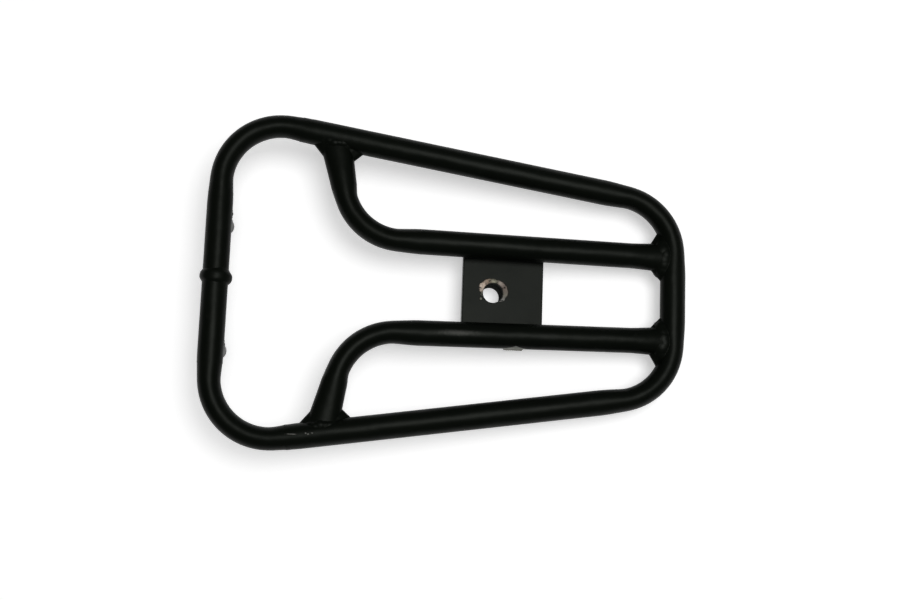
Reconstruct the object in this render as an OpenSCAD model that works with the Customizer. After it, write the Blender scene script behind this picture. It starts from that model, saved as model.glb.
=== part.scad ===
// Motorcycle luggage rack: a closed loop of bent steel tube, two inner rails, a bolt plate and
// three feet that bolt down. Millimetres, +Z up. X runs from the wide end to the narrow end.
// The origin is on the axis of the centre bolt hole, at the lower face of the centre bush.

/* [Tube] */
// Outside diameter of every tube
tube_d = 14; // [12:0.5:17]
// Wall of every tube
tube_wall = 1.5; // [1:0.1:2]
// Centreline radius of every bend
bend_radius = 32.5; // [28:0.5:38]
// Loss of width that a tube takes in its bends, seen in the plane of the bend
bend_squeeze = 1.6; // [0.6:0.1:2]
// Length of straight tube over which the squeeze runs out
squeeze_runout = 7; // [5:0.5:12]

/* [Outer loop] */
// Length between the centrelines of the two end tubes
loop_length = 252; // [230:1:290]
// Width at the wide end, between the points where the centrelines would cross
wide_width = 182; // [170:1:200]
// Width at the narrow end, between the points where the centrelines would cross
narrow_width = 106; // [98:1:124]
// Distance of the centre bolt hole from the centreline of the wide end tube
hole_setback = 152; // [146:1:158]
// Root gap between the two tube ends under the butt weld
root_gap = 1; // [0.5:0.1:2]

/* [Inner rails] */
// Distance from the wide end tube to where a rail starts on the side tube
rail_start = 60.5; // [56:0.5:66]
// Distance from the wide end tube to where the straight of a rail meets its leg
rail_corner = 73; // [70:0.5:78]
// Spacing of the rails at that corner, between centrelines
rail_spacing_wide = 51.5; // [46:0.5:58]
// Spacing of the rails at the narrow end tube, between centrelines
rail_spacing_narrow = 47; // [40:0.5:50]
// Width to which a rail's ends are pressed where they meet a tube
rail_end_width = 17; // [14.5:0.25:18]
// Height to which they are pressed there
rail_end_height = 11.5; // [10.5:0.25:13.5]
// Length of rail over which its round section runs out to that
rail_end_run = 17; // [12:0.5:20]
// Gap left between a shaped rail end and the tube that it is welded to
cope_gap = 0.3; // [0.2:0.05:0.6]

/* [Mounting plate] */
// Length of the plate along the rails
plate_length = 45; // [38:1:55]
// Width of the plate across the rails
plate_width = 60; // [58:0.5:62]
// Thickness of the plate
plate_thick = 6; // [4:0.5:10]
// Distance of the bolt hole from the edge of the plate that faces the wide end
plate_hole_edge = 17; // [14:0.5:21]
// Corner radius of the plate
plate_corner = 3; // [1:0.5:4]
// Gap between the top of the plate and the underside of the rails
plate_gap = 0.1; // [0.05:0.05:0.3]

/* [Centre bush] */
// Diameter of the bolt hole through plate and bush
bolt_hole_d = 11; // [8.5:0.5:13]
// Outside diameter of the bush
bush_d = 20; // [17:0.5:24]
// Length of the bush below the plate
bush_length = 12; // [6:0.5:18]
// Chamfer on the lower rim of the bush
bush_chamfer = 0.8; // [0.3:0.1:1.5]

/* [Wide end bosses] */
// Outside diameter of each boss
boss_d = 10; // [8.5:0.5:14]
// Distance between the two boss axes
boss_spacing = 72; // [60:1:80]
// How far the seats of the bosses lie below the seat of the bush
boss_drop = 16; // [0:0.5:20]
// Diameter of the threaded hole in each boss, at the crests of the thread
boss_hole_d = 5.2; // [4.2:0.1:7.5]
// Depth of the threaded hole
boss_hole_depth = 16; // [10:0.5:18]
// Chamfer on the lower rim of a boss
boss_chamfer = 0.8; // [0.3:0.1:1.2]

/* [Welds] */
// Leg length of the fillet welds between the tubes
tube_weld_leg = 5.5; // [3.5:0.25:6]
// Height of the beads of those welds over the crown of a pressed rail end
tube_weld_crown = 0.9; // [0.5:0.1:1.4]
// Radius of those beads
tube_weld_bead_r = 3.2; // [2.5:0.1:3.6]
// Radius of the arc in which such a bead goes over a tube
tube_weld_arc = 11; // [9.5:0.5:13]
// Distance of such a bead from the centreline of the tube that a rail is welded to
tube_weld_offset = 4.2; // [3:0.1:5]
// Height of the butt weld over the tube
butt_weld_height = 2; // [0.8:0.1:2.4]
// Width of the butt weld along the tube
butt_weld_width = 8; // [6:0.25:10]
// Radius of the weld beads at the plate
plate_bead_r = 2.6; // [2:0.1:3]
// Length of the stitch weld at each side of the plate
stitch_length = 12; // [8:0.5:16]
// Distance of the middle of that stitch from the bolt hole
stitch_offset = 12; // [8:0.5:14]
// Length of the weld under a rail at each end of the plate
end_bead_length = 8; // [6:0.5:10]
// Leg of the weld around the bush
bush_weld_leg = 3; // [2:0.25:4]
// Height of the weld at a boss over the side of the tube
boss_weld_height = 0.6; // [0.4:0.1:1.3]
// How far that weld sits towards the inside of the rack
boss_weld_shift = 0.3; // [0:0.1:0.7]
// Leg of the weld at a boss along the tube
boss_weld_leg = 2.7; // [2:0.1:3.5]
// Clearance between a weld and the metal that it lies on
weld_clear = 0.05; // [0.03:0.01:0.1]

/* [Hidden] */
$fn = 72;

tube_r = tube_d / 2;
// Half the width of a squeezed tube, and the flatter arcs at its sides
squeezed = tube_r - bend_squeeze / 2;
side_r = tube_r + bend_squeeze;
side_offset = side_r - squeezed;
side_tilt = atan((tube_r + 0.2 - squeezed) / squeeze_runout);
// Flatter arcs above and below a pressed rail end, and the slopes of its sides and of its top
press_r = 12;
press_spread = (rail_end_width / 2 - tube_r) / rail_end_run;
press_tilt = atan((tube_r - rail_end_height / 2) / rail_end_run);
pressed_to = tube_r + rail_end_run;
// How far a bend laps into the straights beside it, and how far its skin lies inside theirs
lap = 0.3;
lap_inset = 0.02;
lap_angle = lap / bend_radius * 180 / PI;
// Height of the plane that holds all tube centrelines
tube_z = bush_length + plate_thick + plate_gap + tube_r;

wide_x = -hole_setback;
narrow_x = loop_length - hole_setback;
// Angle by which each side tube closes in, and the tangent lengths of the four bends
side_angle = atan((wide_width - narrow_width) / 2 / loop_length);
wide_tangent = bend_radius * tan((90 + side_angle) / 2);
narrow_tangent = bend_radius * tan((90 - side_angle) / 2);
wide_run = wide_width / 2 - wide_tangent;
narrow_run = narrow_width / 2 - narrow_tangent;
side_run = loop_length / cos(side_angle) - wide_tangent - narrow_tangent;

// Left rail in plan: start on the side tube, corner, end on the narrow end tube
rail_a = [wide_x + rail_start, wide_width / 2 - rail_start * tan(side_angle)];
rail_b = [wide_x + rail_corner, rail_spacing_wide / 2];
rail_c = [narrow_x, rail_spacing_narrow / 2];
leg_angle = atan2(rail_b[1] - rail_a[1], rail_b[0] - rail_a[0]);
rail_angle = atan2(rail_c[1] - rail_b[1], rail_c[0] - rail_b[0]);
rail_turn = rail_angle - leg_angle;
rail_tangent = bend_radius * tan(rail_turn / 2);
leg_run = norm(rail_b - rail_a) - rail_tangent;
rail_run = norm(rail_c - rail_b) - rail_tangent;

plate_x0 = -plate_hole_edge;
plate_x1 = plate_x0 + plate_length;
plate_z0 = bush_length;
plate_z1 = bush_length + plate_thick;

// Height of a left rail's centreline above the X axis, in plan, at a given x
function rail_y(x) = rail_b[1] + (x - rail_b[0]) * tan(rail_angle);

steel_black = [0.10, 0.11, 0.10];
plate_black = [0.15, 0.16, 0.15];
bare_steel = [0.55, 0.53, 0.50];

// Section of a squeezed tube, grown by g: round above and below, with flatter arcs at the sides
module squeezed_section(g) {
    intersection() {
        circle(tube_r + g);
        translate([side_offset, 0]) circle(side_r + g);
        translate([-side_offset, 0]) circle(side_r + g);
    }
}

// Solid bend about Z from angle 0, grown by g. Its skin sits a hair inside the straights.
module bend_solid(angle, g) {
    rotate([0, 0, -lap_angle]) rotate_extrude(angle = angle + 2 * lap_angle)
        translate([bend_radius, 0]) squeezed_section(g - lap_inset);
}

// Hollow bend about Z from angle 0
module bend_tube(angle) {
    rotate([0, 0, -lap_angle]) rotate_extrude(angle = angle + 2 * lap_angle)
        translate([bend_radius, 0]) difference() {
            squeezed_section(-lap_inset);
            squeezed_section(lap_inset - tube_wall);
        }
}

// What the squeeze takes off a straight that starts at x = 0, for a tube grown by g
module squeeze_cut(g) {
    o = tube_r + g + 3;
    difference() {
        translate([-2, -o, -o]) cube([2 + 1.3 * squeeze_runout, 2 * o, 2 * o]);
        intersection() {
            squeezed_side(1, g);
            squeezed_side(-1, g);
        }
    }
}
// One of the two large tilted cylinders whose outer flanks are the sides of the squeezed tube
module squeezed_side(s, g) {
    translate([0, s * side_offset, 0]) rotate([0, 0, -s * side_tilt]) rotate([0, 90, 0])
        cylinder(r = side_r + g, h = 60, center = true);
}

// Solid straight run along X, grown by g and longer by e at both ends, squeezed at an end whose
// flag is 1
module run_solid(length, start, end, g, e = 0) {
    difference() {
        translate([-e, 0, 0]) rotate([0, 90, 0]) cylinder(r = tube_r + g, h = length + 2 * e);
        if (start == 1) squeeze_cut(g);
        if (end == 1) translate([length, 0, 0]) mirror([1, 0, 0]) squeeze_cut(g);
    }
}

// Hollow straight run along X
module run_tube(length, start, end) {
    difference() {
        run_solid(length, start, end, 0);
        run_solid(length, start, end, -tube_wall, 1);
    }
}

// Solid end of a rail along X from x = 0, the centreline of the tube that it meets, grown by g and
// longer by e at both ends: pressed wide and low there, and round where the straight run takes over
module pressed_solid(g, e = 0) {
    length = pressed_to + lap + 2 * e;
    wide = tube_r + press_spread * (pressed_to + e) + g;
    narrow = tube_r - press_spread * (lap + e) + g;
    intersection() {
        translate([-e, 0, 0]) rotate([0, 90, 0]) cylinder(r1 = wide, r2 = narrow, h = length);
        pressed_face(1, g);
        pressed_face(-1, g);
    }
}
// One of the two large tilted cylinders whose outer flanks are the top and the underside there
module pressed_face(s, g) {
    translate([pressed_to, 0, s * (tube_r - press_r)]) rotate([0, -s * press_tilt, 0])
        rotate([0, 90, 0]) cylinder(r = press_r + g, h = 6 * pressed_to, center = true);
}

// Hollow end of a rail, as long as it is before it is shaped to its tube
module pressed_tube() {
    difference() {
        pressed_solid(-lap_inset);
        pressed_solid(lap_inset - tube_wall, 1);
    }
}

// Places of the pieces of the left half of the loop
module at_wide_run() { translate([wide_x, root_gap / 2, tube_z]) rotate([0, 0, 90]) children(); }
module at_wide_bend() {
    translate([wide_x + bend_radius, wide_run, tube_z]) rotate([0, 0, 90 - side_angle]) children();
}
module at_side_run() {
    translate([wide_x, wide_width / 2, tube_z]) rotate([0, 0, -side_angle])
        translate([wide_tangent, 0, 0]) children();
}
module at_narrow_bend() {
    translate([narrow_x - bend_radius, narrow_run, tube_z]) children();
}
module at_narrow_run() {
    translate([narrow_x, -narrow_run, tube_z]) rotate([0, 0, 90]) children();
}

module both_sides() {
    children();
    mirror([0, 1, 0]) children();
}

// Outer shape of the loop where the rails are welded on, grown by g
module side_tube_shape(g) { at_side_run() run_solid(side_run, 1, 1, g); }
module narrow_end_shape(g) {
    at_narrow_run() run_solid(2 * narrow_run, 1, 1, g);
    at_narrow_bend() bend_solid(90 - side_angle, g);
}

// Outer shape of the wide end tube near a boss, grown by g
module wide_tube_shape(g) {
    translate([wide_x, 0, tube_z]) rotate([90, 0, 0])
        cylinder(r = tube_r + g, h = boss_spacing + 4 * boss_d, center = true);
}

module outer_loop() {
    color(steel_black) union() {
        both_sides() {
            at_wide_run() run_tube(wide_run - root_gap / 2, 0, 1);
            at_wide_bend() bend_tube(90 + side_angle);
            at_side_run() run_tube(side_run, 1, 1);
            at_narrow_bend() bend_tube(90 - side_angle);
        }
        at_narrow_run() run_tube(2 * narrow_run, 1, 1);
    }
}

// Ring of weld over the joint of the two tube ends, flat in the middle and round at its rims
module butt_weld() {
    color(steel_black) translate([wide_x, 0, tube_z]) rotate([90, 0, 0]) rotate_extrude()
        intersection() {
            union() {
                for (s = [-1, 1])
                    translate([tube_r + 0.1, s * (butt_weld_width / 2 - butt_weld_height)])
                        circle(butt_weld_height - 0.1);
                translate([tube_r, -(butt_weld_width / 2 - butt_weld_height)])
                    square([butt_weld_height, butt_weld_width - 2 * butt_weld_height]);
            }
            translate([tube_r + weld_clear, -butt_weld_width])
                square([butt_weld_height + 1, 2 * butt_weld_width]);
        }
}

// Places on the left rail
module at_leg() {
    translate([rail_a[0], rail_a[1], tube_z]) rotate([0, 0, leg_angle]) children();
}
module at_rail_bend() {
    at_leg() translate([leg_run, bend_radius, 0]) rotate([0, 0, -90]) children();
}
module at_rail_straight() {
    translate([rail_b[0], rail_b[1], tube_z]) rotate([0, 0, rail_angle])
        translate([rail_tangent, 0, 0]) children();
}

module at_rail_end() {
    translate([rail_c[0], rail_c[1], tube_z]) rotate([0, 0, 180 + rail_angle]) children();
}

// Left rail: one bent tube with both ends pressed and shaped to fit the loop
module rail() {
    color(steel_black) difference() {
        union() {
            at_leg() pressed_tube();
            at_leg() translate([pressed_to, 0, 0]) run_tube(leg_run - pressed_to, 0, 1);
            at_rail_bend() bend_tube(rail_turn);
            at_rail_straight() run_tube(rail_run - pressed_to, 1, 0);
            at_rail_end() pressed_tube();
        }
        side_tube_shape(cope_gap);
        narrow_end_shape(cope_gap);
    }
}
module rail_left() { rail(); }
module rail_right() { mirror([0, 1, 0]) rail(); }

// Weld round a pressed rail end at point p. The rail leaves at angle ab, the main tube runs at angle
// am. In plan the weld is a web with equal legs, rounded off above and below by two large spheres,
// and a bead crosses the rail above and below, a little inside the crown of the main tube.
module saddle_weld_blank(p, ab, am) {
    u = [cos(ab), sin(ab)];
    m = [cos(am), sin(am)];
    lean = abs(sin(ab - am));
    k = tube_r / lean;
    half = rail_end_width / 2 / lean;
    leg = tube_weld_leg;
    web = rail_end_height / 2 - 0.3;
    foot = (tube_r + press_spread * (pressed_to - k - leg)) / lean;
    reach = half + 2 * leg;
    ball = (reach * reach + web * web) / (2 * web);
    ring = rail_end_height / 2 + tube_weld_crown - tube_weld_bead_r;
    low = acos((rail_end_width / 2 + 0.5) / tube_weld_arc);
    translate([p[0], p[1], tube_z]) {
        intersection() {
            linear_extrude(height = 2 * tube_r, center = true) polygon([
                u * k + m * (half + leg), u * (k + leg) + m * foot,
                u * (k + leg) - m * foot, u * k - m * (half + leg),
                -m * (half + leg), m * (half + leg)]);
            translate([u[0] * leg, u[1] * leg, web - ball]) sphere(ball);
            translate([u[0] * leg, u[1] * leg, ball - web]) sphere(ball);
        }
        for (turn = [0, 180])
            translate([u[0] * tube_weld_offset / lean, u[1] * tube_weld_offset / lean, 0])
                rotate([0, 0, am]) rotate([turn, 0, 0]) translate([0, 0, ring - tube_weld_arc])
                    rotate([90, 0, 0]) rotate([0, 0, low]) rotate_extrude(angle = 180 - 2 * low)
                        translate([tube_weld_arc, 0]) circle(tube_weld_bead_r);
    }
}

module rail_weld_wide() {
    color(steel_black) difference() {
        saddle_weld_blank(rail_a, leg_angle, -side_angle);
        side_tube_shape(weld_clear);
        at_leg() pressed_solid(weld_clear, 1);
    }
}
module rail_weld_wide_left() { rail_weld_wide(); }
module rail_weld_wide_right() { mirror([0, 1, 0]) rail_weld_wide(); }

module rail_weld_narrow() {
    color(steel_black) difference() {
        saddle_weld_blank(rail_c, 180 + rail_angle, 90);
        narrow_end_shape(weld_clear);
        at_rail_end() pressed_solid(weld_clear, 1);
    }
}
module rail_weld_narrow_left() { rail_weld_narrow(); }
module rail_weld_narrow_right() { mirror([0, 1, 0]) rail_weld_narrow(); }

// Flat bar under both rails, with the bolt hole off its middle
module mounting_plate() {
    color(plate_black) difference() {
        translate([0, 0, plate_z0]) linear_extrude(height = plate_thick) {
            translate([plate_x0 + plate_corner, -plate_width / 2])
                square([plate_length - 2 * plate_corner, plate_width]);
            translate([plate_x0, -plate_width / 2 + plate_corner])
                square([plate_length, plate_width - 2 * plate_corner]);
            for (x = [plate_x0 + plate_corner, plate_x1 - plate_corner], s = [-1, 1])
                translate([x, s * (plate_width / 2 - plate_corner)]) circle(plate_corner);
        }
        translate([0, 0, plate_z0 - 1]) cylinder(d = bolt_hole_d, h = plate_thick + 2);
    }
}

// Bead with round ends along X, from the middle
module bead(length, r) {
    rotate([0, 90, 0]) cylinder(r = r, h = length - 2 * r, center = true, $fn = 48);
    for (s = [-1, 1]) translate([s * (length / 2 - r), 0, 0]) sphere(r, $fn = 48);
}

// The rail above the plate, grown by the weld's clearance
module rail_over_plate() {
    at_rail_straight() run_solid(rail_run - pressed_to, 1, 0, weld_clear);
}

module plate_stitch() {
    r = plate_bead_r;
    color(steel_black) difference() {
        translate([stitch_offset, rail_y(stitch_offset), tube_z]) rotate([0, 0, rail_angle])
            translate([0, tube_r * 0.8, -tube_r * 0.89]) bead(stitch_length, r);
        rail_over_plate();
        translate([plate_x0, 0, plate_z0 - r])
            cube([plate_length, plate_width / 2 + weld_clear, plate_thick + r + weld_clear]);
    }
}
module plate_stitch_left() { plate_stitch(); }
module plate_stitch_right() { mirror([0, 1, 0]) plate_stitch(); }

module plate_end_welds() {
    r = plate_bead_r;
    color(steel_black) for (end = [[plate_x0, -1], [plate_x1, 1]]) difference() {
        translate([end[0] + end[1] * r / 4, rail_y(end[0]), plate_z1 - r / 2])
            rotate([0, 0, 90]) bead(end_bead_length, r);
        rail_over_plate();
        translate([end[0] + end[1] * (weld_clear - plate_length / 2), 0, plate_z0])
            cube([plate_length, 2 * plate_width, 4 * plate_thick], center = true);
    }
}
module plate_end_welds_left() { plate_end_welds(); }
module plate_end_welds_right() { mirror([0, 1, 0]) plate_end_welds(); }

module centre_bush() {
    color(steel_black) rotate_extrude() polygon([
        [bolt_hole_d / 2, 0], [bush_d / 2 - bush_chamfer, 0], [bush_d / 2, bush_chamfer],
        [bush_d / 2, bush_length], [bolt_hole_d / 2, bush_length]]);
}

module bush_weld() {
    r = bush_d / 2 + weld_clear;
    color(steel_black) translate([0, 0, bush_length]) rotate_extrude() polygon([
        [r, 0], [r + bush_weld_leg, 0], [r + bush_weld_leg * 0.62, -bush_weld_leg * 0.62],
        [r, -bush_weld_leg]]);
}

// Left boss: a round bar under the wide end tube, shaped to the tube and threaded from below
module boss() {
    color(steel_black) translate([wide_x, boss_spacing / 2, -boss_drop]) difference() {
        union() {
            cylinder(r1 = boss_d / 2 - boss_chamfer, r2 = boss_d / 2, h = boss_chamfer);
            translate([0, 0, boss_chamfer])
                cylinder(d = boss_d, h = boss_drop + tube_z - boss_chamfer);
        }
        translate([0, 0, -1]) cylinder(d = boss_hole_d, h = boss_hole_depth + 1);
        translate([0, 0, boss_drop + tube_z]) rotate([90, 0, 0])
            cylinder(r = tube_r + weld_clear, h = 2 * boss_d, center = true);
    }
}
module boss_left() { boss(); }
module boss_right() { mirror([0, 1, 0]) boss(); }

// Weld round the head of a boss, fuller on the side that faces into the rack
module boss_weld() {
    r = boss_d / 2;
    low = tube_z - tube_r - boss_weld_leg - 1.5;
    rim = r + boss_weld_leg;
    color(steel_black) difference() {
        intersection() {
            translate([wide_x, boss_spacing / 2, low]) union() {
                cylinder(r1 = r, r2 = rim, h = boss_weld_leg);
                translate([0, 0, boss_weld_leg]) cylinder(r = rim, h = tube_z - 1 - low - boss_weld_leg);
            }
            translate([wide_x + boss_weld_shift, boss_spacing / 2, tube_z - 2.6]) rotate([90, 0, 0])
                cylinder(r = tube_r + boss_weld_height, h = 4 * boss_d, center = true);
        }
        wide_tube_shape(weld_clear);
        translate([wide_x, boss_spacing / 2, low - 1]) cylinder(r = r + weld_clear, h = tube_z + tube_r);
    }
}
module boss_weld_left() { boss_weld(); }
module boss_weld_right() { mirror([0, 1, 0]) boss_weld(); }

outer_loop();
butt_weld();
rail_left();
rail_right();
rail_weld_wide_left();
rail_weld_wide_right();
rail_weld_narrow_left();
rail_weld_narrow_right();
mounting_plate();
plate_stitch_left();
plate_stitch_right();
plate_end_welds_left();
plate_end_welds_right();
centre_bush();
bush_weld();
boss_left();
boss_right();
boss_weld_left();
boss_weld_right();
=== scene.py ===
"""Motorcycle luggage rack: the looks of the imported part."""

import math
import random

import bmesh
import bpy
from mathutils import Matrix, Vector


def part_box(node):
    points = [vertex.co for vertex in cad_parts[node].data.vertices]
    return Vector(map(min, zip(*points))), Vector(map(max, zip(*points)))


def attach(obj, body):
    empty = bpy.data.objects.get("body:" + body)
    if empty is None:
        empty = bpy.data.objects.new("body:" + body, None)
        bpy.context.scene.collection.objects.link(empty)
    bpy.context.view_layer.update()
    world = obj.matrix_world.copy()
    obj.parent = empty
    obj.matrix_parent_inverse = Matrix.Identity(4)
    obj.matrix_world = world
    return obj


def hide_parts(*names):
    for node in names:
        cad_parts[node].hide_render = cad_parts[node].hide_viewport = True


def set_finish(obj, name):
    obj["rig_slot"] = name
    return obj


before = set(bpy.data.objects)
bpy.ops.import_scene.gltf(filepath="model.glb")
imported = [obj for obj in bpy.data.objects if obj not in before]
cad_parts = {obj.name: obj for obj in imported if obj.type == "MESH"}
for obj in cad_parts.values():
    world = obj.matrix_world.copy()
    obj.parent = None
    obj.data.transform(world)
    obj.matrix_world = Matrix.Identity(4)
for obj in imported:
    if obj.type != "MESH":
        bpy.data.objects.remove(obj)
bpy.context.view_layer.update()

MM = 0.001
UP = Vector((0, 0, 1))
QUARTER = math.pi / 2

# Sizes of the rack in millimetres, the same as the solids have
TUBE_R = 7.0
TUBE_Z = 25.1
BEND_R = 32.5
WIDE_X = -152.0
NARROW_X = 100.0
WIDE_HALF = 91.0
NARROW_HALF = 53.0
LOOP_LENGTH = NARROW_X - WIDE_X
SIDE_ANGLE = math.atan((WIDE_HALF - NARROW_HALF) / LOOP_LENGTH)
WIDE_TANGENT = BEND_R * math.tan((QUARTER + SIDE_ANGLE) / 2)
NARROW_TANGENT = BEND_R * math.tan((QUARTER - SIDE_ANGLE) / 2)
SIDE_RUN = LOOP_LENGTH / math.cos(SIDE_ANGLE) - WIDE_TANGENT - NARROW_TANGENT
WIDE_RUN = WIDE_HALF - WIDE_TANGENT
NARROW_RUN = NARROW_HALF - NARROW_TANGENT
RAIL_START = (-91.5, WIDE_HALF - 60.5 * math.tan(SIDE_ANGLE))
RAIL_CORNER = (-79.0, 25.75)
RAIL_END = (NARROW_X, 23.5)
LEG_ANGLE = math.atan2(RAIL_CORNER[1] - RAIL_START[1], RAIL_CORNER[0] - RAIL_START[0])
RAIL_ANGLE = math.atan2(RAIL_END[1] - RAIL_CORNER[1], RAIL_END[0] - RAIL_CORNER[0])
RAIL_TANGENT = BEND_R * math.tan((RAIL_ANGLE - LEG_ANGLE) / 2)
PLATE_X = (-17.0, 28.0)
PLATE_BOTTOM = 12.0
PLATE_TOP = 18.0
HOLE_R = 5.5
BUSH_R = 10.0
BOSS_Y = 36.0
BOSS_R = 5.0
BOSS_BASE = -16.0

# Radii of the rims that the rack stands on, and the thread in a boss
BUSH_SEAT_R = 9.1
BOSS_SEAT_R = 4.15
THREAD_ROOT = 3.05
THREAD_CREST = 2.6
THREAD_PITCH = 1.0
THREAD_TURNS = 14

# Bends: half width of the tube in one, how far ahead of one the tube begins to change, which is
# less on the short leg of a rail, and how far into one the change ends
BEND_HALF_WIDTH = 6.2
RUNOUT = 13.0
LEG_RUNOUT = 4.0
RUN_IN = 5.0
# Rail ends, pressed wide and low for welding: half width, half height, and length of the change;
# then the power that the change follows and the share of it at which it stops
WIDE_PRESS = (8.65, 5.55, 24.8)
NARROW_PRESS = (8.0, 6.0, 17.0)
PRESS_POWER = 1.2
PRESS_LIMIT = 1.25

# Beads over and under a rail end: height of the middle above the tube's, and thickness of a puddle;
# then for each of the two ends the distance from the tube's centreline and how far a puddle strays
# from it, the number of puddles and their radii, and the radius and half length of the bead's arc
SEAM_TOP = 3.45
SEAM_THICK = 3.15
WIDE_BEAD = {"offset": 4.2, "wander": 0.30, "count": 8, "along": 4.2, "across": 2.95,
             "arc": 14.5, "half": 8.6}
NARROW_BEAD = {"offset": 5.6, "wander": 0.55, "count": 6, "along": 5.2, "across": 4.7,
               "arc": 16.0, "half": 7.2}
# Fillets at the flanks of a rail end: the levels of their sections, how high and how low they
# reach, and how deep their edges lie in the metal
FILLET_LEVELS = (-4.6, -3.4, -2.0, -0.7, 0.7, 2.0, 3.4, 4.6)
FILLET_TOP = 4.5
FILLET_FOOT = 5.25
FILLET_SUNK = 0.25
# Collar over the joint of the loop: place along the tube and radius, the share of its rise that it
# has above and below, and how far askew it lies
COLLAR = ((-4.4, 6.6), (-3.5, 7.1), (-2.6, 8.0), (-1.5, 8.65), (-0.5, 8.8),
          (0.5, 8.8), (1.5, 8.65), (2.6, 8.0), (3.5, 7.1), (4.4, 6.6))
COLLAR_CROWN = 0.47
COLLAR_SKEW = math.radians(5.4)

# Chipped ring round the bolt hole, by the turn from -X round by -Y: share of its full width, and
# its steel
RING_WIDTH = 4.0
RING_REACH = ((0.0, 0.35), (0.03, 0.45), (0.07, 0.05), (0.33, 0.0), (0.39, 0.50), (0.47, 0.72),
              (0.62, 0.78), (0.75, 0.62), (0.90, 0.82), (0.985, 0.62), (1.0, 0.35))
RING_STEEL = ((0.0, (0.10, 0.10, 0.08)), (0.40, (0.12, 0.12, 0.115)), (0.50, (0.13, 0.12, 0.10)),
              (0.57, (0.10, 0.08, 0.07)), (0.64, (0.20, 0.17, 0.15)), (0.71, (0.11, 0.11, 0.08)),
              (0.76, (0.22, 0.21, 0.16)), (0.83, (0.19, 0.14, 0.105)), (0.92, (0.42, 0.35, 0.29)),
              (0.97, (0.30, 0.25, 0.21)), (1.0, (0.10, 0.10, 0.08)))
# Coats of the tubes and of the plate: dark and light tone, sheen, depth of the dents in mm
TUBE_COAT = (((0.0012, 0.0019, 0.0011, 1), (0.0023, 0.0033, 0.0021, 1)), 0.070, 0.8)
PLATE_COAT = (((0.0029, 0.0036, 0.0029, 1), (0.0047, 0.0057, 0.0048, 1)), 0.066, 0.1)
SHEEN_TINT = (0.94, 1.0, 0.90, 1)
DUST = (0.045, 0.044, 0.041, 1)
SCUFFED = (0.022, 0.024, 0.021, 1)
RUST = (0.045, 0.038, 0.030, 1)
# Small light marks on the loop's coat, specks and a long thin one near its crown: place, and
# size along and across the tube
LOOP_LIGHT_MARKS = (((-97.7, -82.6, 32.0), 0.9, 0.6), ((-95.6, -82.0, 32.0), 0.8, 0.5),
              ((-99.0, -82.2, 32.0), 0.7, 0.6), ((-106.5, -83.0, 32.0), 4.5, 0.45),
              ((-93.4, -76.5, 31.5), 0.8, 0.5), ((-148.0, -63.3, 30.0), 0.7, 0.5))

# How fine the meshes are: sides of a tube and of a turned piece, steps of a change of section,
# degrees in a step of a bend, and size in mm of the grid that a weld is fused on
ROUND = 56
TURNED = 72
CHANGE_STEPS = 14
STEP_DEGREES = 2.6
VOXEL = 0.32
FINE_VOXEL = 0.22
# How far the copies of the tubes in a weld lie under the tubes' own skin
UNDER = 0.14


def plan(x, y, z=0.0):
    """A point of the rack in metres, from millimetres."""
    return Vector((x, y, z)) * MM


# ---------------------------------------------------------------- finishes

class Sock:
    """A shader socket that is added, subtracted, multiplied and divided like a number."""

    def __init__(self, finish, socket):
        self.finish, self.socket = finish, socket

    def __add__(self, other): return self.finish.maths("ADD", self, other)
    def __radd__(self, other): return self.finish.maths("ADD", other, self)
    def __sub__(self, other): return self.finish.maths("SUBTRACT", self, other)
    def __rsub__(self, other): return self.finish.maths("SUBTRACT", other, self)
    def __mul__(self, other): return self.finish.maths("MULTIPLY", self, other)
    def __rmul__(self, other): return self.finish.maths("MULTIPLY", other, self)
    def __truediv__(self, other): return self.finish.maths("DIVIDE", self, other)


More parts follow.
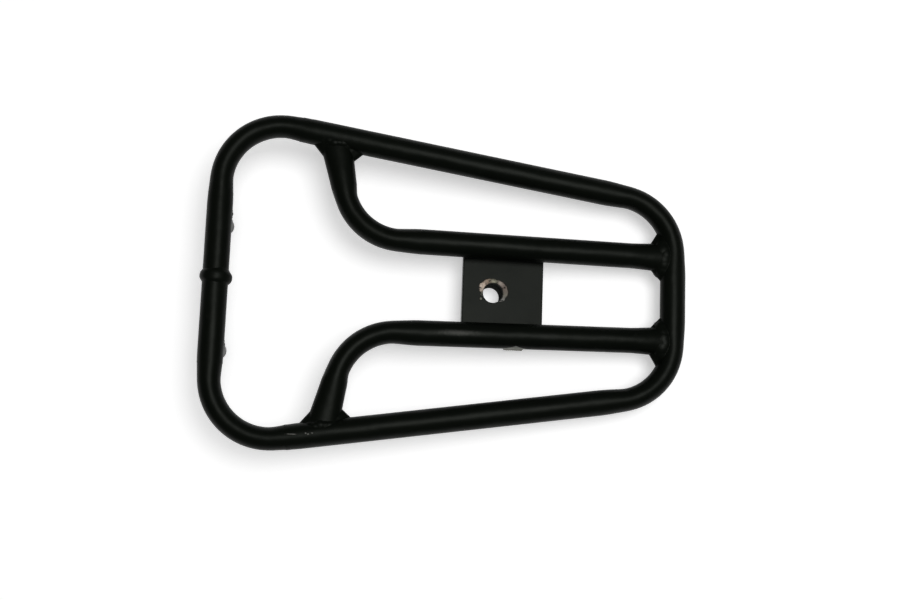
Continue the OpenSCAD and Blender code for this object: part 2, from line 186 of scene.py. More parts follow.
class Finish:
    """A material with its nodes."""

    def __init__(self, name):
        self.material = bpy.data.materials.new(name)
        self.material.use_nodes = True
        self.nodes = self.material.node_tree.nodes
        self.links = self.material.node_tree.links
        self.nodes.clear()
        self.place = self.node("ShaderNodeTexCoord", {}, {}, "Object")

    def node(self, kind, settings, inputs, output=0):
        """Adds a node with its settings first, then its values or links, and gives one output."""
        made = self.nodes.new(kind)
        for key, value in settings.items():
            if key == "stops":
                ramp = made.color_ramp
                while len(ramp.elements) < len(value):
                    ramp.elements.new(0.5)
                for stop, (at, colour) in zip(ramp.elements, value):
                    stop.position, stop.color = at, colour
            else:
                setattr(made, key, value)
        for key, value in inputs.items():
            if isinstance(value, Sock):
                self.links.new(value.socket, made.inputs[key])
            elif value is not None:
                made.inputs[key].default_value = value
        return Sock(self, made.outputs[output]) if made.outputs else None

    def maths(self, operation, *values):
        """A sum on numbers or sockets."""
        return self.node("ShaderNodeMath", {"operation": operation}, dict(enumerate(values)))

    def vector(self, operation, *values, output=0):
        """A sum on vectors."""
        inputs = dict(enumerate(values))
        return self.node("ShaderNodeVectorMath", {"operation": operation}, inputs, output)

    def noise(self, scale, detail=3.0, roughness=0.55):
        """Noise between 0 and 1 that is fixed to the object, with that many lumps to the metre."""
        return self.node("ShaderNodeTexNoise", {}, {
            "Vector": self.place, "Scale": scale, "Detail": detail, "Roughness": roughness})

    def ramp(self, value, low, high):
        """0 below low, 1 above high, smooth between."""
        settings = {"interpolation_type": "SMOOTHSTEP", "clamp": True}
        return self.node("ShaderNodeMapRange", settings, {
            "Value": value, "From Min": low, "From Max": high, "To Min": 0.0, "To Max": 1.0})

    def stops(self, value, colours):
        """A colour by value, from pairs of a place and a colour."""
        return self.node("ShaderNodeValToRGB", {"stops": colours}, {0: value})

    def mix(self, factor, a, b):
        """Colour a where factor is 0, b where it is 1."""
        return self.node("ShaderNodeMix", {"data_type": "RGBA"}, {0: factor, 6: a, 7: b}, 2)

    def axes(self):
        """The place on the object, as its three numbers in metres."""
        return [self.node("ShaderNodeSeparateXYZ", {}, {0: self.place}, axis) for axis in "XYZ"]

    def distance(self, point, stretch=(1, 1, 1)):
        """Distance in metres from a point of the rack, with each axis weighed."""
        away = self.vector("SUBTRACT", self.place, tuple(point))
        return self.vector("LENGTH", self.vector("MULTIPLY", away, stretch), output="Value")

    def bump(self, height, strength, depth, before=None):
        """A normal bent by height, up to depth in mm, on top of the bump before it."""
        return self.node("ShaderNodeBump", {}, {
            "Strength": strength, "Distance": depth * MM, "Height": height, "Normal": before})

    def surface(self, **sockets):
        """The material with one surface shader. The names of its sockets have _ for a space."""
        named = {key.replace("_", " "): value for key, value in sockets.items()}
        return self.show(self.node("ShaderNodeBsdfPrincipled", {}, named, "BSDF"))

    def show(self, shader):
        """The material with that shader as its surface."""
        self.node("ShaderNodeOutputMaterial", {}, {"Surface": shader})
        return self.material


def powder_coat(name, tones, sheen, dents, coat_marks=None):
    """Satin black powder coat in its two tones, over steel with shallow dents of that depth.
    The last argument, where given, gives a mask of marks and their colour, drawn metallic; the
    mark on the right rail's top is a painted highlight."""
    f = Finish(name)
    peel = f.noise(900.0, 2.0, 0.5)
    waves = f.noise(55.0, 2.0, 0.5)
    cloud = f.noise(38.0, 4.0, 0.6)
    dust = f.ramp(f.noise(2400.0, 1.0, 0.5), 0.70, 0.80)
    scuff = f.ramp(f.noise(160.0, 5.0, 0.7), 0.58, 0.80)
    colour = f.mix(cloud, *tones)
    colour = f.mix(dust * 0.2, colour, DUST)
    colour = f.mix(scuff * 0.12, colour, SCUFFED)
    rough = 0.34 + 0.12 * cloud + 0.08 * scuff
    metal = 0.0
    normal = f.bump(peel, 0.22, 0.12, f.bump(waves, 1.0, dents))
    if coat_marks:
        mask, mark_colour = coat_marks(f)
        colour = f.mix(mask, colour, mark_colour)
        rough = rough * (1 - mask) + 0.52 * mask
        metal = 0.65 * mask
        normal = f.bump(1 - mask, 0.8, 0.25, normal)
    return f.surface(Base_Color=colour, Roughness=rough, Metallic=metal, Normal=normal, IOR=1.5,
                     Specular_IOR_Level=sheen, Specular_Tint=SHEEN_TINT)


def washer_ring(f):
    """Bare steel round the bolt hole, where a washer has chipped the coat, and a chip beside it."""
    x, y, z = f.axes()
    turn = f.maths("ARCTAN2", y, x) / (2 * math.pi) + 0.5
    ragged = f.noise(520.0, 4.0, 0.65)
    rim = f.noise(300.0, 3.0, 0.6)
    reach = f.stops(turn, [(at, (share, share, share, 1)) for at, share in RING_REACH])
    outer = HOLE_R * MM + RING_WIDTH * MM * reach * (0.62 + 0.76 * rim)
    from_axis = f.distance((0, 0, 0), (1, 1, 0))
    coat_marks = 1 - f.ramp(from_axis - outer, -0.5 * MM, 0.2 * MM)
    patchy = f.ramp(ragged, 0.26, 0.46)
    speck = f.distance(plan(-6.6, -3.6, PLATE_TOP)) + 0.6 * MM * ragged
    spot = 1 - f.ramp(speck, 0.8 * MM, 1.4 * MM)
    top = f.ramp(z, (PLATE_TOP - 0.15) * MM, (PLATE_TOP - 0.05) * MM)
    mask = f.maths("MAXIMUM", coat_marks * patchy, spot) * top
    steel = f.stops(turn + 0.10 * (rim - 0.5), [(at, (*tone, 1)) for at, tone in RING_STEEL])
    rusty = f.ramp(f.noise(800.0, 3.0, 0.6), 0.35, 0.65)
    return mask, f.mix(rusty * 0.45, steel, RUST)


def grey_patch_on_bead(f):
    """A light grey, partly metallic patch along the outer side of the right stitch weld."""
    patch = f.distance(plan(12.0, -31.2, 18.5), (1, 1.6, 1.0))
    ragged = f.noise(600.0, 3.0, 0.6)
    mask = 1 - f.ramp(patch + 2.5 * MM * ragged, 6.6 * MM, 8.2 * MM)
    return mask, f.mix(ragged, (0.20, 0.195, 0.18, 1), (0.33, 0.32, 0.30, 1))


def flank_patch_and_highlight(f):
    """A light grey patch on the outer side of the right rail, over its stitch weld, and a faint
    lighter line on its top that is a painted highlight."""
    x, y, z = f.axes()
    ragged = f.noise(700.0, 3.0, 0.6)
    along = f.maths("ABSOLUTE", x - 12.2 * MM) / (11.5 * MM)
    up = f.maths("MAXIMUM", (z - 23.8 * MM) / (5.4 * MM), 0.0)
    patch = 1 - f.ramp(along + up + 0.12 * (ragged - 0.5), 0.92, 1.02)
    outside = 1 - f.ramp(y, -28.5 * MM, -28.0 * MM)
    # Painted highlight: a faint lighter line along the top of the rail, laid into the coat's colour
    away = f.distance(plan(-20.0, -24.9, 32.0), (0.10, 0.75, 0.3))
    painted_highlight = 1 - f.ramp(away + 1.2 * MM * ragged, 0.6 * MM, 2.2 * MM)
    # One grey for the patch and for the painted highlight line
    steel = f.mix(ragged, (0.170, 0.168, 0.158, 1), (0.230, 0.226, 0.212, 1))
    return f.maths("MAXIMUM", patch * outside, 0.20 * painted_highlight), steel


def marked(points):
    """Small light marks in the coat, drawn metallic, each given by its place and its size along and
    across.
    """
    def coat_marks(f):
        ragged = f.noise(1300.0, 2.0, 0.6)
        mask = 0.0
        for place, along, across in points:
            away = f.distance(plan(*place), (1 / along, 1 / across, 1 / across))
            speck = 1 - f.ramp(away + 1.1 * MM * ragged, 0.9 * MM, 1.4 * MM)
            mask = f.maths("MAXIMUM", mask, speck)
        return 0.55 * mask, f.mix(ragged, (0.13, 0.13, 0.12, 1), (0.24, 0.235, 0.22, 1))
    return coat_marks


def lightened_bore(name):
    """Thin, dull coat inside the bolt hole, where little light comes. Its greys are painted light:
    far lighter than the rack's coat, so that the bore does not sink into its own shade.
    """
    f = Finish(name)
    cloud = f.noise(260.0, 4.0, 0.6)
    # Painted light: greys far lighter than the tubes' coat, which lift the shaded bore
    colour = f.mix(cloud, (0.065, 0.069, 0.066, 1), (0.14, 0.145, 0.135, 1))
    return f.surface(Base_Color=colour, Roughness=0.70 + 0.2 * cloud,
                     Normal=f.bump(f.noise(1500.0, 3.0, 0.6), 0.4, 0.2), Specular_IOR_Level=0.0)


def bare_thread(name):
    """Steel of the tapped holes, with a little oil and coat left in it."""
    f = Finish(name)
    cloud = f.noise(300.0, 3.0, 0.6)
    colour = f.mix(cloud, (0.12, 0.115, 0.105, 1), (0.24, 0.235, 0.22, 1))
    return f.surface(Base_Color=colour, Roughness=0.34 + 0.2 * cloud, Metallic=0.85)


# ---------------------------------------------------------------- pieces

def finished(name, bm, materials, node, slot="tube_coat", recalculate=True):
    """Turns a bmesh into a smooth-shaded piece that stands for a CAD node."""
    if recalculate:
        bmesh.ops.recalc_face_normals(bm, faces=bm.faces)
    return dress(bpy.data.objects.new(name, as_mesh(bm, name)), materials, node, slot)


def as_mesh(bm, name):
    """The mesh of a bmesh, which is freed."""
    mesh = bpy.data.meshes.new(name)
    bm.to_mesh(mesh)
    bm.free()
    return mesh


def dress(piece, materials, node, slot="tube_coat"):
    """Puts an object into the scene, with its materials, in place of a CAD node."""
    bpy.context.scene.collection.objects.link(piece)
    mesh = piece.data
    for material in materials:
        mesh.materials.append(material)
    mesh.shade_smooth()
    mesh.set_sharp_from_angle(angle=math.radians(38))
    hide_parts(node)
    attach(piece, "root")
    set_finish(piece, slot)
    return piece


def mirrored(piece, name, node, materials=None):
    """The same piece on the other side of the rack."""
    bm = bmesh.new()
    bm.from_mesh(piece.data)
    bmesh.ops.scale(bm, vec=(1, -1, 1), verts=bm.verts)
    bmesh.ops.reverse_faces(bm, faces=bm.faces)
    materials = materials or tuple(piece.data.materials)
    return finished(name, bm, materials, node, piece["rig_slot"], recalculate=False)


class Tube:
    """A tube skin that grows ring by ring: straights are extruded and bends are spun."""

    def __init__(self, start, heading, grow=0.0, section=(TUBE_R, TUBE_R)):
        self.bm = bmesh.new()
        self.at, self.heading, self.grow = Vector(start), heading, grow
        self.section = (TUBE_R, TUBE_R)
        made = bmesh.ops.create_circle(
            self.bm, cap_ends=True, segments=ROUND, radius=(TUBE_R + grow) * MM)
        stand = Matrix.Rotation(heading, 3, "Z") @ Matrix.Rotation(QUARTER, 3, "Y")
        bmesh.ops.rotate(self.bm, verts=made["verts"], matrix=stand)
        bmesh.ops.translate(self.bm, verts=made["verts"], vec=self.at * MM)
        self.edges = list(self.bm.edges)
        self.press(made["verts"], section)

    def press(self, verts, section):
        """Brings the ring to a new half width, in the plane of the bends, and half height."""
        local = Matrix.Rotation(-self.heading, 4, "Z") @ Matrix.Translation(-self.at * MM)
        wider, higher = [(new + self.grow) / (old + self.grow)
                         for new, old in zip(section, self.section)]
        bmesh.ops.scale(self.bm, vec=(1, wider, higher), space=local, verts=verts)
        self.section = tuple(section)

    def forward(self, length, section=None):
        """The tube goes on by length, and has the new section there."""
        made = bmesh.ops.extrude_edge_only(self.bm, edges=self.edges)["geom"]
        verts = [g for g in made if isinstance(g, bmesh.types.BMVert)]
        step = Vector((math.cos(self.heading), math.sin(self.heading), 0)) * length
        bmesh.ops.translate(self.bm, verts=verts, vec=step * MM)
        self.at += step
        self.take_edges(verts)
        if section and section != self.section:
            self.press(verts, section)
        return self

    def take_edges(self, verts):
        """The open rim goes on with these vertices."""
        ring = set(verts)
        self.edges = [e for e in dict.fromkeys(e for v in verts for e in v.link_edges)
                      if e.verts[0] in ring and e.verts[1] in ring]

    def straight(self, length, start=None, end=None):
        """A straight run. start and end say how its section changes near its two ends: each is a
        reach and a function that gives the section at a distance from that end."""
        changes = [(*change, from_start) for change, from_start in ((start, True), (end, False))
                   if change]
        marks = {length}
        for reach, shape, from_start in changes:
            ticks = [reach * i / CHANGE_STEPS for i in range(CHANGE_STEPS + 1)]
            marks |= {t if from_start else length - t for t in ticks}
        done = 0.0
        for mark in sorted(m for m in marks if 0 < m <= length):
            wide, high = TUBE_R, TUBE_R
            for reach, shape, from_start in changes:
                w, h = shape(mark if from_start else length - mark)
                wide, high = wide * w / TUBE_R, high * h / TUBE_R
            self.forward(mark - done, (wide, high))
            done = mark
        return self

    def bend(self, angle, runout=RUNOUT):
        """A bend to the left by angle, or to the right where it is negative."""
        side = 1 if angle > 0 else -1
        sideways = Vector((-math.sin(self.heading), math.cos(self.heading), 0))
        centre = self.at + sideways * BEND_R * side
        length = abs(angle) * BEND_R
        steps = max(6, int(abs(math.degrees(angle)) / STEP_DEGREES))
        for i in range(1, steps + 1):
            rim = list(dict.fromkeys(v for e in self.edges for v in e.verts))
            made = bmesh.ops.spin(
                self.bm, geom=rim + self.edges, cent=centre * MM, axis=(0, 0, 1), dvec=(0, 0, 0),
                angle=angle / steps, steps=1, use_merge=False, use_normal_flip=False,
                use_duplicate=False)["geom_last"]
            verts = [g for g in made if isinstance(g, bmesh.types.BMVert)]
            self.take_edges(verts)
            self.at = centre + Matrix.Rotation(angle / steps, 3, "Z") @ (self.at - centre)
            self.heading += angle / steps
            along = length * i / steps
            half = max(squeezed(along, runout), squeezed(length - along))
            self.press(verts, (half, TUBE_R))
        return self

    def close(self):
        """Caps the open end and gives the finished bmesh."""
        bmesh.ops.contextual_create(self.bm, geom=self.edges)
        return self.bm


def squeezed(depth, runout=RUNOUT):
    """Half width of the tube at a depth in mm into a bend (negative: ahead of it)."""
    t = min(1.0, max(0.0, (depth + runout) / (runout + RUN_IN)))
    return TUBE_R - (TUBE_R - BEND_HALF_WIDTH) * t * t * (3 - 2 * t)


def bend_ahead(runout=RUNOUT):
    """Change of a straight run's section towards a bend."""
    return runout, lambda away: (squeezed(-away, runout), TUBE_R)


def pressed_end(half_width, half_height, run):
    """Change of a rail's section towards the centreline of the tube that it is welded to."""
    def shape(away):
        t = min(PRESS_LIMIT, max(0.0, (TUBE_R + run - away) / run)) ** PRESS_POWER
        return TUBE_R + (half_width - TUBE_R) * t, TUBE_R + (half_height - TUBE_R) * t
    return TUBE_R + run, shape


def loop_tube():
    """The whole outer loop, from the joint of its two ends round to the joint again."""
    half_gap = 0.5
    bend = bend_ahead()
    tube = Tube((WIDE_X, -half_gap, TUBE_Z), -QUARTER)
    tube.straight(WIDE_RUN - half_gap, None, bend).bend(QUARTER + SIDE_ANGLE)
    tube.straight(SIDE_RUN, bend, bend).bend(QUARTER - SIDE_ANGLE)
    tube.straight(2 * NARROW_RUN, bend, bend).bend(QUARTER - SIDE_ANGLE)
    tube.straight(SIDE_RUN, bend, bend).bend(QUARTER + SIDE_ANGLE)
    tube.straight(WIDE_RUN - half_gap, bend, None)
    return tube.close()


def rail_tube():
    """The left rail, from the middle of the side tube to the middle of the narrow end tube."""
    start, corner, end = Vector(RAIL_START), Vector(RAIL_CORNER), Vector(RAIL_END)
    leg, run = pressed_end(*WIDE_PRESS), pressed_end(*NARROW_PRESS)
    tube = Tube((*RAIL_START, TUBE_Z), LEG_ANGLE, section=leg[1](0.0))
    tube.straight((corner - start).length - RAIL_TANGENT, leg, bend_ahead(LEG_RUNOUT))
    tube.bend(RAIL_ANGLE - LEG_ANGLE, LEG_RUNOUT)
    tube.straight((end - corner).length - RAIL_TANGENT - run[0], bend_ahead(), None)
    tube.straight(run[0], None, run)
    return tube.close()


def line_bore(bm, centre, radius):
    """Gives the faces of a bore, or of a thread in it, the second material."""
    play = 0.1
    for face in bm.faces:
        away = [math.hypot(v.co.x / MM - centre[0], v.co.y / MM - centre[1]) for v in face.verts]
        if max(away) < radius + play:
            face.material_index = 1
    return bm


def solid_copy(node):
    """The shape of a CAD node with its corners merged."""
    bm = bmesh.new()
    bm.from_mesh(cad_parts[node].data)
    bmesh.ops.remove_doubles(bm, verts=bm.verts, dist=1e-6)
    return bm


def join(bm, other):
    """Adds the other bmesh, which is freed."""
    mesh = as_mesh(other, "part")
    bm.from_mesh(mesh)
    bpy.data.meshes.remove(mesh)
    return bm


def puddle(bm, at, radii, turn):
    """One frozen puddle of a weld bead: a ball with its own radii, turned and put in place."""
    made = bmesh.ops.create_icosphere(bm, subdivisions=3, radius=MM)["verts"]
    bmesh.ops.scale(bm, vec=radii, verts=made)
    bmesh.ops.transform(bm, matrix=turn.to_4x4(), verts=made)
    bmesh.ops.translate(bm, vec=Vector(at) * MM, verts=made)


def fuse(name, bm, rounds, voxel=VOXEL):
    """Fuses overlapping lumps into one skin and softens it, as molten metal does."""
    lump = bpy.data.objects.new(name + "_lump", as_mesh(bm, name))
    bpy.context.scene.collection.objects.link(lump)
    remesh = lump.modifiers.new("fuse", "REMESH")
    remesh.mode, remesh.voxel_size = "VOXEL", voxel * MM
    soft = lump.modifiers.new("soften", "SMOOTH")
    soft.factor, soft.iterations = 0.5, rounds
    bpy.context.view_layer.update()
    graph = bpy.context.evaluated_depsgraph_get()
    made = bpy.data.meshes.new_from_object(lump.evaluated_get(graph))
    bpy.data.objects.remove(lump)
    made.name = name
    return bpy.data.objects.new(name, made)


def seam_puddles(bm, at, branch, main, bead, seed):
    """Frozen puddles along the seam of a rail end: a flat band that goes over it and under it."""
    draw = random.Random(seed)
    u, m, lean = joint_axes(branch, main)
    arc = bead["arc"]
    low = math.acos(bead["half"] / arc)
    for side in (1, -1):
        for i in range(bead["count"]):
            t = low + (math.pi - 2 * low) * i / (bead["count"] - 1)
            b, z = arc * math.cos(t), SEAM_TOP - arc + arc * math.sin(t)
            stray = draw.uniform(-1, 1) * bead["wander"]
            shift = (bead["offset"] + stray) / lean
            along = (m * math.sin(t) - UP * (side * math.cos(t))).normalized()
            up = (UP * (side * math.sin(t)) + m * math.cos(t)).normalized()
            size = 1 + draw.uniform(-0.03, 0.03)
            lift = UP * (side * (z + draw.uniform(-0.10, 0.05)))
            puddle(bm, Vector(at) + u * shift + m * b + lift,
                   (bead["along"] * size, bead["across"] + stray, SEAM_THICK * size),
                   Matrix((along, up.cross(along), up)).transposed())


def joint_axes(branch, main):
    """Directions of the rail and of the tube that it meets, and the sine of the angle between."""
    u = Vector((math.cos(branch), math.sin(branch), 0))
    m = Vector((math.cos(main), math.sin(main), 0))
    return u, m, abs(math.sin(branch - main))


def side_fillet(bm, at, branch, main, press, side, rail_leg, tube_leg, drawn=0.0):
    """Fillet of weld in the corner between the rail's flank and the tube: full legs at mid height,
    less above and below. drawn moves its foot off the tube's line, where the tube bends away."""
    u, m, lean = joint_axes(branch, main)
    _, section = pressed_end(*press)
    verts = []
    for level in FILLET_LEVELS:
        full = max(0.0, 1 - (level / (FILLET_TOP if level > 0 else FILLET_FOOT)) ** 2)
        a = math.sqrt(TUBE_R ** 2 - level ** 2) / lean
        foot = drawn - FILLET_SUNK if full > 0 else 0.0
        for out, along, inward in ((0.0, -1.0, 0.0), (0.0, tube_leg * full, foot),
                                   (rail_leg * full, -FILLET_SUNK, 0.0)):
            half, high = section(a + out)
            b = half * math.sqrt(max(0.0, 1 - (level / high) ** 2)) / lean + along
            spot = Vector(at) + u * (a + out + inward) + m * (side * b) + UP * level
            verts.append(bm.verts.new(spot * MM))
    bmesh.ops.convex_hull(bm, input=verts)


def stub(start, heading, length, grow=-UNDER):
    """A short straight tube, a little thinner, for a weld to be fused with."""
    return Tube(start, heading, grow).forward(length).close()


def pressed_stub(start, heading, press):
    """The end of a rail, a little thinner, for its weld to be fused with."""
    length, steps = 17.0, 8
    _, shape = pressed_end(*press)
    tube = Tube(start, heading, -UNDER, shape(0.0))
    for i in range(1, steps + 1):
        tube.forward(length / steps, shape(length * i / steps))
    return tube.close()


def wide_joint(seed):
    """Weld of the left rail's leg on the side tube."""
    at = Vector((*RAIL_START, TUBE_Z))
    main, half = -SIDE_ANGLE, 19
    bm = stub(at - Vector((math.cos(main), math.sin(main), 0)) * half, main, 2 * half)
    join(bm, pressed_stub(at, LEG_ANGLE, WIDE_PRESS))
    side_fillet(bm, at, LEG_ANGLE, main, WIDE_PRESS, -1, rail_leg=6.9, tube_leg=4.2)
    side_fillet(bm, at, LEG_ANGLE, main, WIDE_PRESS, 1, rail_leg=5.2, tube_leg=5.6)
    seam_puddles(bm, at, LEG_ANGLE, main, WIDE_BEAD, seed)
    return fuse("rail_weld_wide_left_bead", bm, 6)


def narrow_joint(seed):
    """Weld of the left rail on the narrow end tube, close to its bend."""
    at = Vector((*RAIL_END, TUBE_Z))
    begin, part_of_bend = 4.0, 0.60
    end = Tube((NARROW_X, begin, TUBE_Z), QUARTER, -UNDER)
    bm = end.straight(NARROW_RUN - begin, None, bend_ahead()).bend(part_of_bend).close()
    branch = RAIL_ANGLE + math.pi
    join(bm, pressed_stub(at, branch, NARROW_PRESS))
    side_fillet(bm, at, branch, QUARTER, NARROW_PRESS, -1, rail_leg=5.9, tube_leg=5.7)
    side_fillet(bm, at, branch, QUARTER, NARROW_PRESS, 1, rail_leg=6.2, tube_leg=5.7, drawn=2.6)
    seam_puddles(bm, at, branch, QUARTER, NARROW_BEAD, seed)
    return fuse("rail_weld_narrow_left_bead", bm, 6)


def butt_joint(seed):
    """Smooth collar of weld round the joint of the two tube ends, laid a little askew."""
    half = 9.0
    bm = stub((WIDE_X, -half, TUBE_Z), QUARTER, 2 * half, -0.1)
    heading = QUARTER - COLLAR_SKEW
    lay = Vector((math.cos(heading), math.sin(heading), 0))
    centre = Vector((WIDE_X + 0.3, 0, TUBE_Z))
    sections = [(r, TUBE_R + (r - TUBE_R) * COLLAR_CROWN) for _, r in COLLAR]
    collar = Tube(centre + lay * COLLAR[0][0], heading, section=sections[0])
    for (before, _), (place, _), section in zip(COLLAR, COLLAR[1:], sections[1:]):
        collar.forward(place - before, section)
    join(bm, collar.close())
    draw = random.Random(seed)
    count = 14
    for i in range(count):
        t = 2 * math.pi * (i + 0.35) / count
        out = Vector((lay.y * math.cos(t), -lay.x * math.cos(t), math.sin(t)))
        reach = 6.5 - 1.0 * abs(math.sin(t)) + draw.uniform(-0.12, 0.10)
        spot = centre + out * reach + lay * draw.uniform(-0.3, 0.3)
        puddle(bm, spot, (2.8, 3.0, 2.25), Matrix((lay.cross(out), lay, out)).transposed())
    return fuse("butt_weld_bead", bm, 6)


def boss_joint(seed):
    """Weld round the head of the left boss, under the tube."""
    half, under = 11.0, 0.12
    radius = (BOSS_R - under) * MM
    bm = stub((WIDE_X, BOSS_Y - half, TUBE_Z), QUARTER, 2 * half, -under)
    made = bmesh.ops.create_cone(
        bm, cap_ends=True, segments=48, radius1=radius, radius2=radius, depth=9 * MM)
    bmesh.ops.translate(bm, vec=plan(WIDE_X, BOSS_Y, 18.5), verts=made["verts"])
    draw = random.Random(seed)
    count = 18
    for i in range(count):
        t = 2 * math.pi * i / count
        x, y = (BOSS_R + 0.2) * math.cos(t), (BOSS_R + 0.5) * math.sin(t)
        heavy = 1.7 + 0.25 * max(0.0, math.cos(t)) ** 2
        z = TUBE_Z - math.sqrt(TUBE_R ** 2 - x * x) - 0.3
        puddle(bm, (WIDE_X + x, BOSS_Y + y, z + draw.uniform(-0.12, 0.12)),
               (heavy * 0.95, heavy, heavy), Matrix.Rotation(t + QUARTER, 3, "Z"))
    return fuse("boss_weld_left_bead", bm, 5)


def bush_joint(seed):
    """Fillet of weld round the bush, under the plate."""
    bm = solid_copy("bush_weld")
    draw = random.Random(seed)
    count = 30
    for i in range(count):
        out = Matrix.Rotation(2 * math.pi * i / count, 3, UP) @ UP.orthogonal().normalized()
        k = 1 + draw.uniform(-0.06, 0.06)
        away = BUSH_R + 0.6 + draw.uniform(-0.12, 0.12)
        spot = out * away + UP * (PLATE_BOTTOM - 0.8 + draw.uniform(-0.12, 0.12))
        puddle(bm, spot, (1.7 * k, 2.1 * k, 2.2 * k), Matrix((UP.cross(out), UP, out)).transposed())
    return fuse("bush_weld_bead", bm, 4)


def stitch_joint(seed):
    """Short stitch of weld between the plate's edge and the left rail."""
    bm = bmesh.new()
    draw = random.Random(seed)
    low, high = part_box("plate_stitch_left")
    inset, count = 1.5, 9
    y, z = 29.75, PLATE_TOP + 0.45
    askew = Matrix.Rotation(0.2, 3, "Z")
    for i in range(count):
        x = low.x / MM + inset + i * ((high.x - low.x) / MM - 2 * inset) / (count - 1)
        size = 1 + draw.uniform(-0.05, 0.05)
        spot = (x, y, z + draw.uniform(-0.1, 0.1))
        puddle(bm, spot, (1.35, 2.15 * size, 2.35 * size), askew)
    return fuse("plate_stitch_left_bead", bm, 3, FINE_VOXEL)


def end_joint(seed):
    """Welds under the left rail at both ends of the plate."""
    bm = solid_copy("plate_end_welds_left")
    draw = random.Random(seed)
    first, step, count = -2.9, 1.15, 6
    for x, out in ((PLATE_X[0], -1), (PLATE_X[1], 1)):
        rail_y = RAIL_CORNER[1] + (x - RAIL_CORNER[0]) * math.tan(RAIL_ANGLE)
        for i in range(count):
            z = PLATE_TOP - 1.2 + draw.uniform(-0.1, 0.1)
            spot = (x + out * 0.9, rail_y + first + i * step, z)
            puddle(bm, spot, (2.0, 0.85, 2.0), Matrix.Identity(3))
    return fuse("plate_end_welds_left_bead", bm, 2, FINE_VOXEL)


def softened_plate():
    """The bolt plate with its sawn edges broken and the coat rounded over them."""
    bm = solid_copy("mounting_plate")
    bmesh.ops.dissolve_limit(bm, angle_limit=math.radians(1.0), verts=bm.verts, edges=bm.edges)
    sharp = [e for e in bm.edges
             if len(e.link_faces) == 2 and e.calc_face_angle() > math.radians(50)]
    bmesh.ops.bevel(bm, geom=sharp, offset=0.45 * MM, offset_type="OFFSET", segments=3, profile=0.5,
                    affect="EDGES", clamp_overlap=True, material=-1)
    return bm


def turn_round(bm, geometry, centre, turns, steps, rise=0.0):
    """Spins vertices and edges round an upright axis, with so many steps to a turn and a rise in mm
    at every step, and gives what it ends with."""
    return bmesh.ops.spin(
        bm, geom=geometry, cent=plan(*centre), axis=(0, 0, 1), dvec=plan(0, 0, rise),
        angle=2 * math.pi * turns, steps=steps * turns, use_merge=not rise, use_normal_flip=False,
        use_duplicate=False)["geom_last"]


def outline(bm, points, centre, closed):
    """Half an outline round an upright axis, from pairs of a radius and a height."""
    verts = [bm.verts.new(plan(centre[0] + r, centre[1], z)) for r, z in points]
    ends = zip(verts, verts[1:] + (verts[:1] if closed else []))
    return verts, [bm.edges.new(pair) for pair in ends]


def lathe(profile, centre, bored):
    """A turned piece from its half outline: a closed one where it is bored right through, else one
    that starts and ends on the axis."""
    bm = bmesh.new()
    verts, edges = outline(bm, profile, centre, bored)
    turn_round(bm, verts + edges, centre, 1, TURNED)
    bmesh.ops.remove_doubles(bm, verts=bm.verts, dist=1e-7)
    return bm


def turned_bush():
    """The bush under the plate, with a broken edge at its foot and a small one in the bore."""
    return lathe([(HOLE_R, 0.25), (HOLE_R + 0.25, 0), (BUSH_SEAT_R, 0), (9.3, 0.08),
                  (BUSH_R - 0.08, 0.7), (BUSH_R, 0.9), (BUSH_R, PLATE_BOTTOM),
                  (HOLE_R, PLATE_BOTTOM)], (0, 0), bored=True)


def turned_boss():
    """The left boss: a turned bar whose head runs into the tube, with a tapped hole below."""
    base, head = BOSS_BASE, 21.0
    centre = (WIDE_X, BOSS_Y)
    bm = lathe([(0.0, base + 17.7), (THREAD_ROOT, base + 16.0), (THREAD_ROOT, base + 0.75),
                (THREAD_ROOT + 0.7, base), (BOSS_SEAT_R, base), (4.33, base + 0.07),
                (BOSS_R - 0.07, base + 0.67), (BOSS_R, base + 0.85), (BOSS_R, head), (0.0, head)],
               centre, bored=False)
    foot, start, steps = THREAD_ROOT + 0.03, base + 0.4, 36
    verts, edges = outline(bm, [(foot, start), (THREAD_CREST, start + 0.40),
                                (THREAD_CREST, start + 0.54), (foot, start + 0.94)], centre, True)
    last = turn_round(bm, verts + edges, centre, THREAD_TURNS, steps, THREAD_PITCH / steps)
    for rim in edges, [g for g in last if isinstance(g, bmesh.types.BMEdge)]:
        bmesh.ops.contextual_create(bm, geom=rim)
    return bm


coat = powder_coat("satin_black_coat", *TUBE_COAT)
loop_coat = powder_coat("marked_loop_coat", *TUBE_COAT, marked(LOOP_LIGHT_MARKS))
plate_coat = powder_coat("plate_coat", *PLATE_COAT, washer_ring)
stitch_coat = powder_coat("stitch_coat_grey_patch", *TUBE_COAT, grey_patch_on_bead)
# The right rail's coat has the grey patch and a painted highlight on its top
rail_coat = powder_coat("rail_coat_patch_and_highlight", *TUBE_COAT, flank_patch_and_highlight)
bore_painted_light_coat = lightened_bore("bolt_hole_painted_light_coat")
thread_steel = bare_thread("thread_steel")

finished("outer_loop_tube", loop_tube(), (loop_coat,), "outer_loop")
left_rail = finished("rail_left_tube", rail_tube(), (coat,), "rail_left")
mirrored(left_rail, "rail_right_tube", "rail_right", (rail_coat,))

dress(butt_joint(seed=11), (coat,), "butt_weld")
wide_weld = dress(wide_joint(seed=3), (coat,), "rail_weld_wide_left")
mirrored(wide_weld, "rail_weld_wide_right_bead", "rail_weld_wide_right")
narrow_weld = dress(narrow_joint(seed=5), (coat,), "rail_weld_narrow_left")
mirrored(narrow_weld, "rail_weld_narrow_right_bead", "rail_weld_narrow_right")

plate = finished("bolt_plate", line_bore(softened_plate(), (0, 0), HOLE_R),
                 (plate_coat, bore_painted_light_coat), "mounting_plate", "plate_coat")
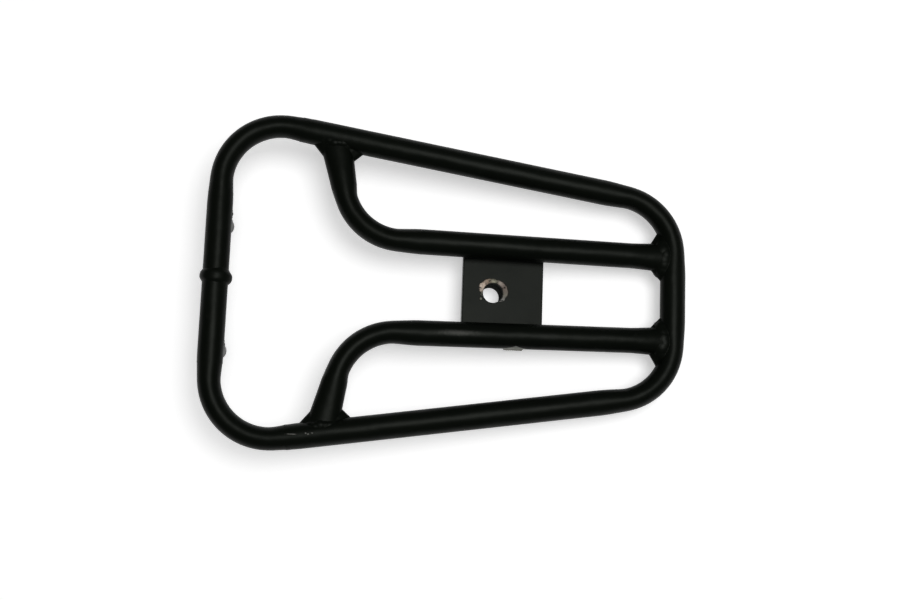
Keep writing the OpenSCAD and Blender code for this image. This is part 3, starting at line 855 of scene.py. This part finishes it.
# The plate's large faces are flat. Only its broken edges and its hole are shaded round
for face in plate.data.polygons:
    face.use_smooth = face.area < 100 * MM * MM
stitch = dress(stitch_joint(seed=7), (coat,), "plate_stitch_left")
mirrored(stitch, "plate_stitch_right_bead", "plate_stitch_right", (stitch_coat,))
end_welds = dress(end_joint(seed=9), (coat,), "plate_end_welds_left")
mirrored(end_welds, "plate_end_welds_right_bead", "plate_end_welds_right")

finished("bush", line_bore(turned_bush(), (0, 0), HOLE_R), (coat, bore_painted_light_coat), "centre_bush")
dress(bush_joint(seed=13), (coat,), "bush_weld")
left_boss = finished("boss_left_bar", line_bore(turned_boss(), (WIDE_X, BOSS_Y), THREAD_ROOT),
                     (coat, thread_steel), "boss_left")
mirrored(left_boss, "boss_right_bar", "boss_right")
boss_weld = dress(boss_joint(seed=15), (coat,), "boss_weld_left")
mirrored(boss_weld, "boss_weld_right_bead", "boss_weld_right")


# ---------------------------------------------------------------- stage, light, camera

# Light that the floor adds to its paint, for the camera and for what shines or lets light through
WHITENING = 0.45


def pale_floor():
    """A pale floor just under the rims of the two bosses and of the bush, on which the rack stands.
    It looks as white as the photograph's background, and keeps the shadow."""
    bm = bmesh.new()
    bmesh.ops.create_grid(bm, x_segments=1, y_segments=1, size=6.0)
    boss_rim = WIDE_X + BOSS_SEAT_R
    slope = math.atan2(-BOSS_BASE, BUSH_SEAT_R - boss_rim)
    bmesh.ops.rotate(bm, verts=bm.verts, matrix=Matrix.Rotation(-slope, 3, "Y"))
    bmesh.ops.translate(bm, verts=bm.verts, vec=plan(boss_rim, 0, BOSS_BASE - 0.1))
    floor = bpy.data.objects.new("floor", as_mesh(bm, "floor"))
    bpy.context.scene.collection.objects.link(floor)
    f = Finish("floor_paint")
    paint = f.node("ShaderNodeBsdfDiffuse", {}, {"Color": (0.88, 0.88, 0.88, 1)}, "BSDF")
    camera, glossy, through = [f.node("ShaderNodeLightPath", {}, {}, ray) for ray in (
        "Is Camera Ray", "Is Glossy Ray", "Is Transmission Ray")]
    strength = WHITENING * (camera + glossy + through)
    white = f.node("ShaderNodeEmission", {}, {"Strength": strength})
    floor.data.materials.append(f.show(f.node("ShaderNodeAddShader", {}, {0: paint, 1: white})))


def lamp(name, at, to, size, power):
    """A round soft lamp that shines from one point to another."""
    light = bpy.data.lights.new(name, "AREA")
    light.shape, light.size, light.energy = "DISK", size, power
    thing = bpy.data.objects.new(name, light)
    bpy.context.scene.collection.objects.link(thing)
    thing.location = at
    thing.rotation_euler = (Vector(to) - Vector(at)).to_track_quat("-Z", "Y").to_euler()


pale_floor()
lamp("softbox", plan(140, 60, 1500), plan(-24, 0, 25), size=0.80, power=13.0)

world = bpy.data.worlds.new("studio")
bpy.context.scene.world = world
world.use_nodes = True
sky = world.node_tree.nodes["Background"]
sky.inputs["Color"].default_value = (1, 1, 1, 1)
sky.inputs["Strength"].default_value = 0.20

# The camera of the photograph, found by fitting the rack's outline to it
right = Vector((0.994774, 0.036313, 0.095424))
down = Vector((0.049967, -0.988192, -0.144843))
ahead = right.cross(down).normalized()
eye = plan(-85.45, -108.20, 699.59)
view = bpy.data.cameras.new("camera")
view.sensor_fit, view.sensor_width, view.lens = "HORIZONTAL", 36.0, 50.0
view.clip_start, view.clip_end = 0.01, 50.0
camera = bpy.data.objects.new("camera", view)
bpy.context.scene.collection.objects.link(camera)
stand = Matrix((right, -down, -ahead)).transposed().to_4x4()
camera.matrix_world = Matrix.Translation(eye) @ stand
bpy.context.scene.camera = camera
bpy.context.scene.view_settings.view_transform = "Standard"
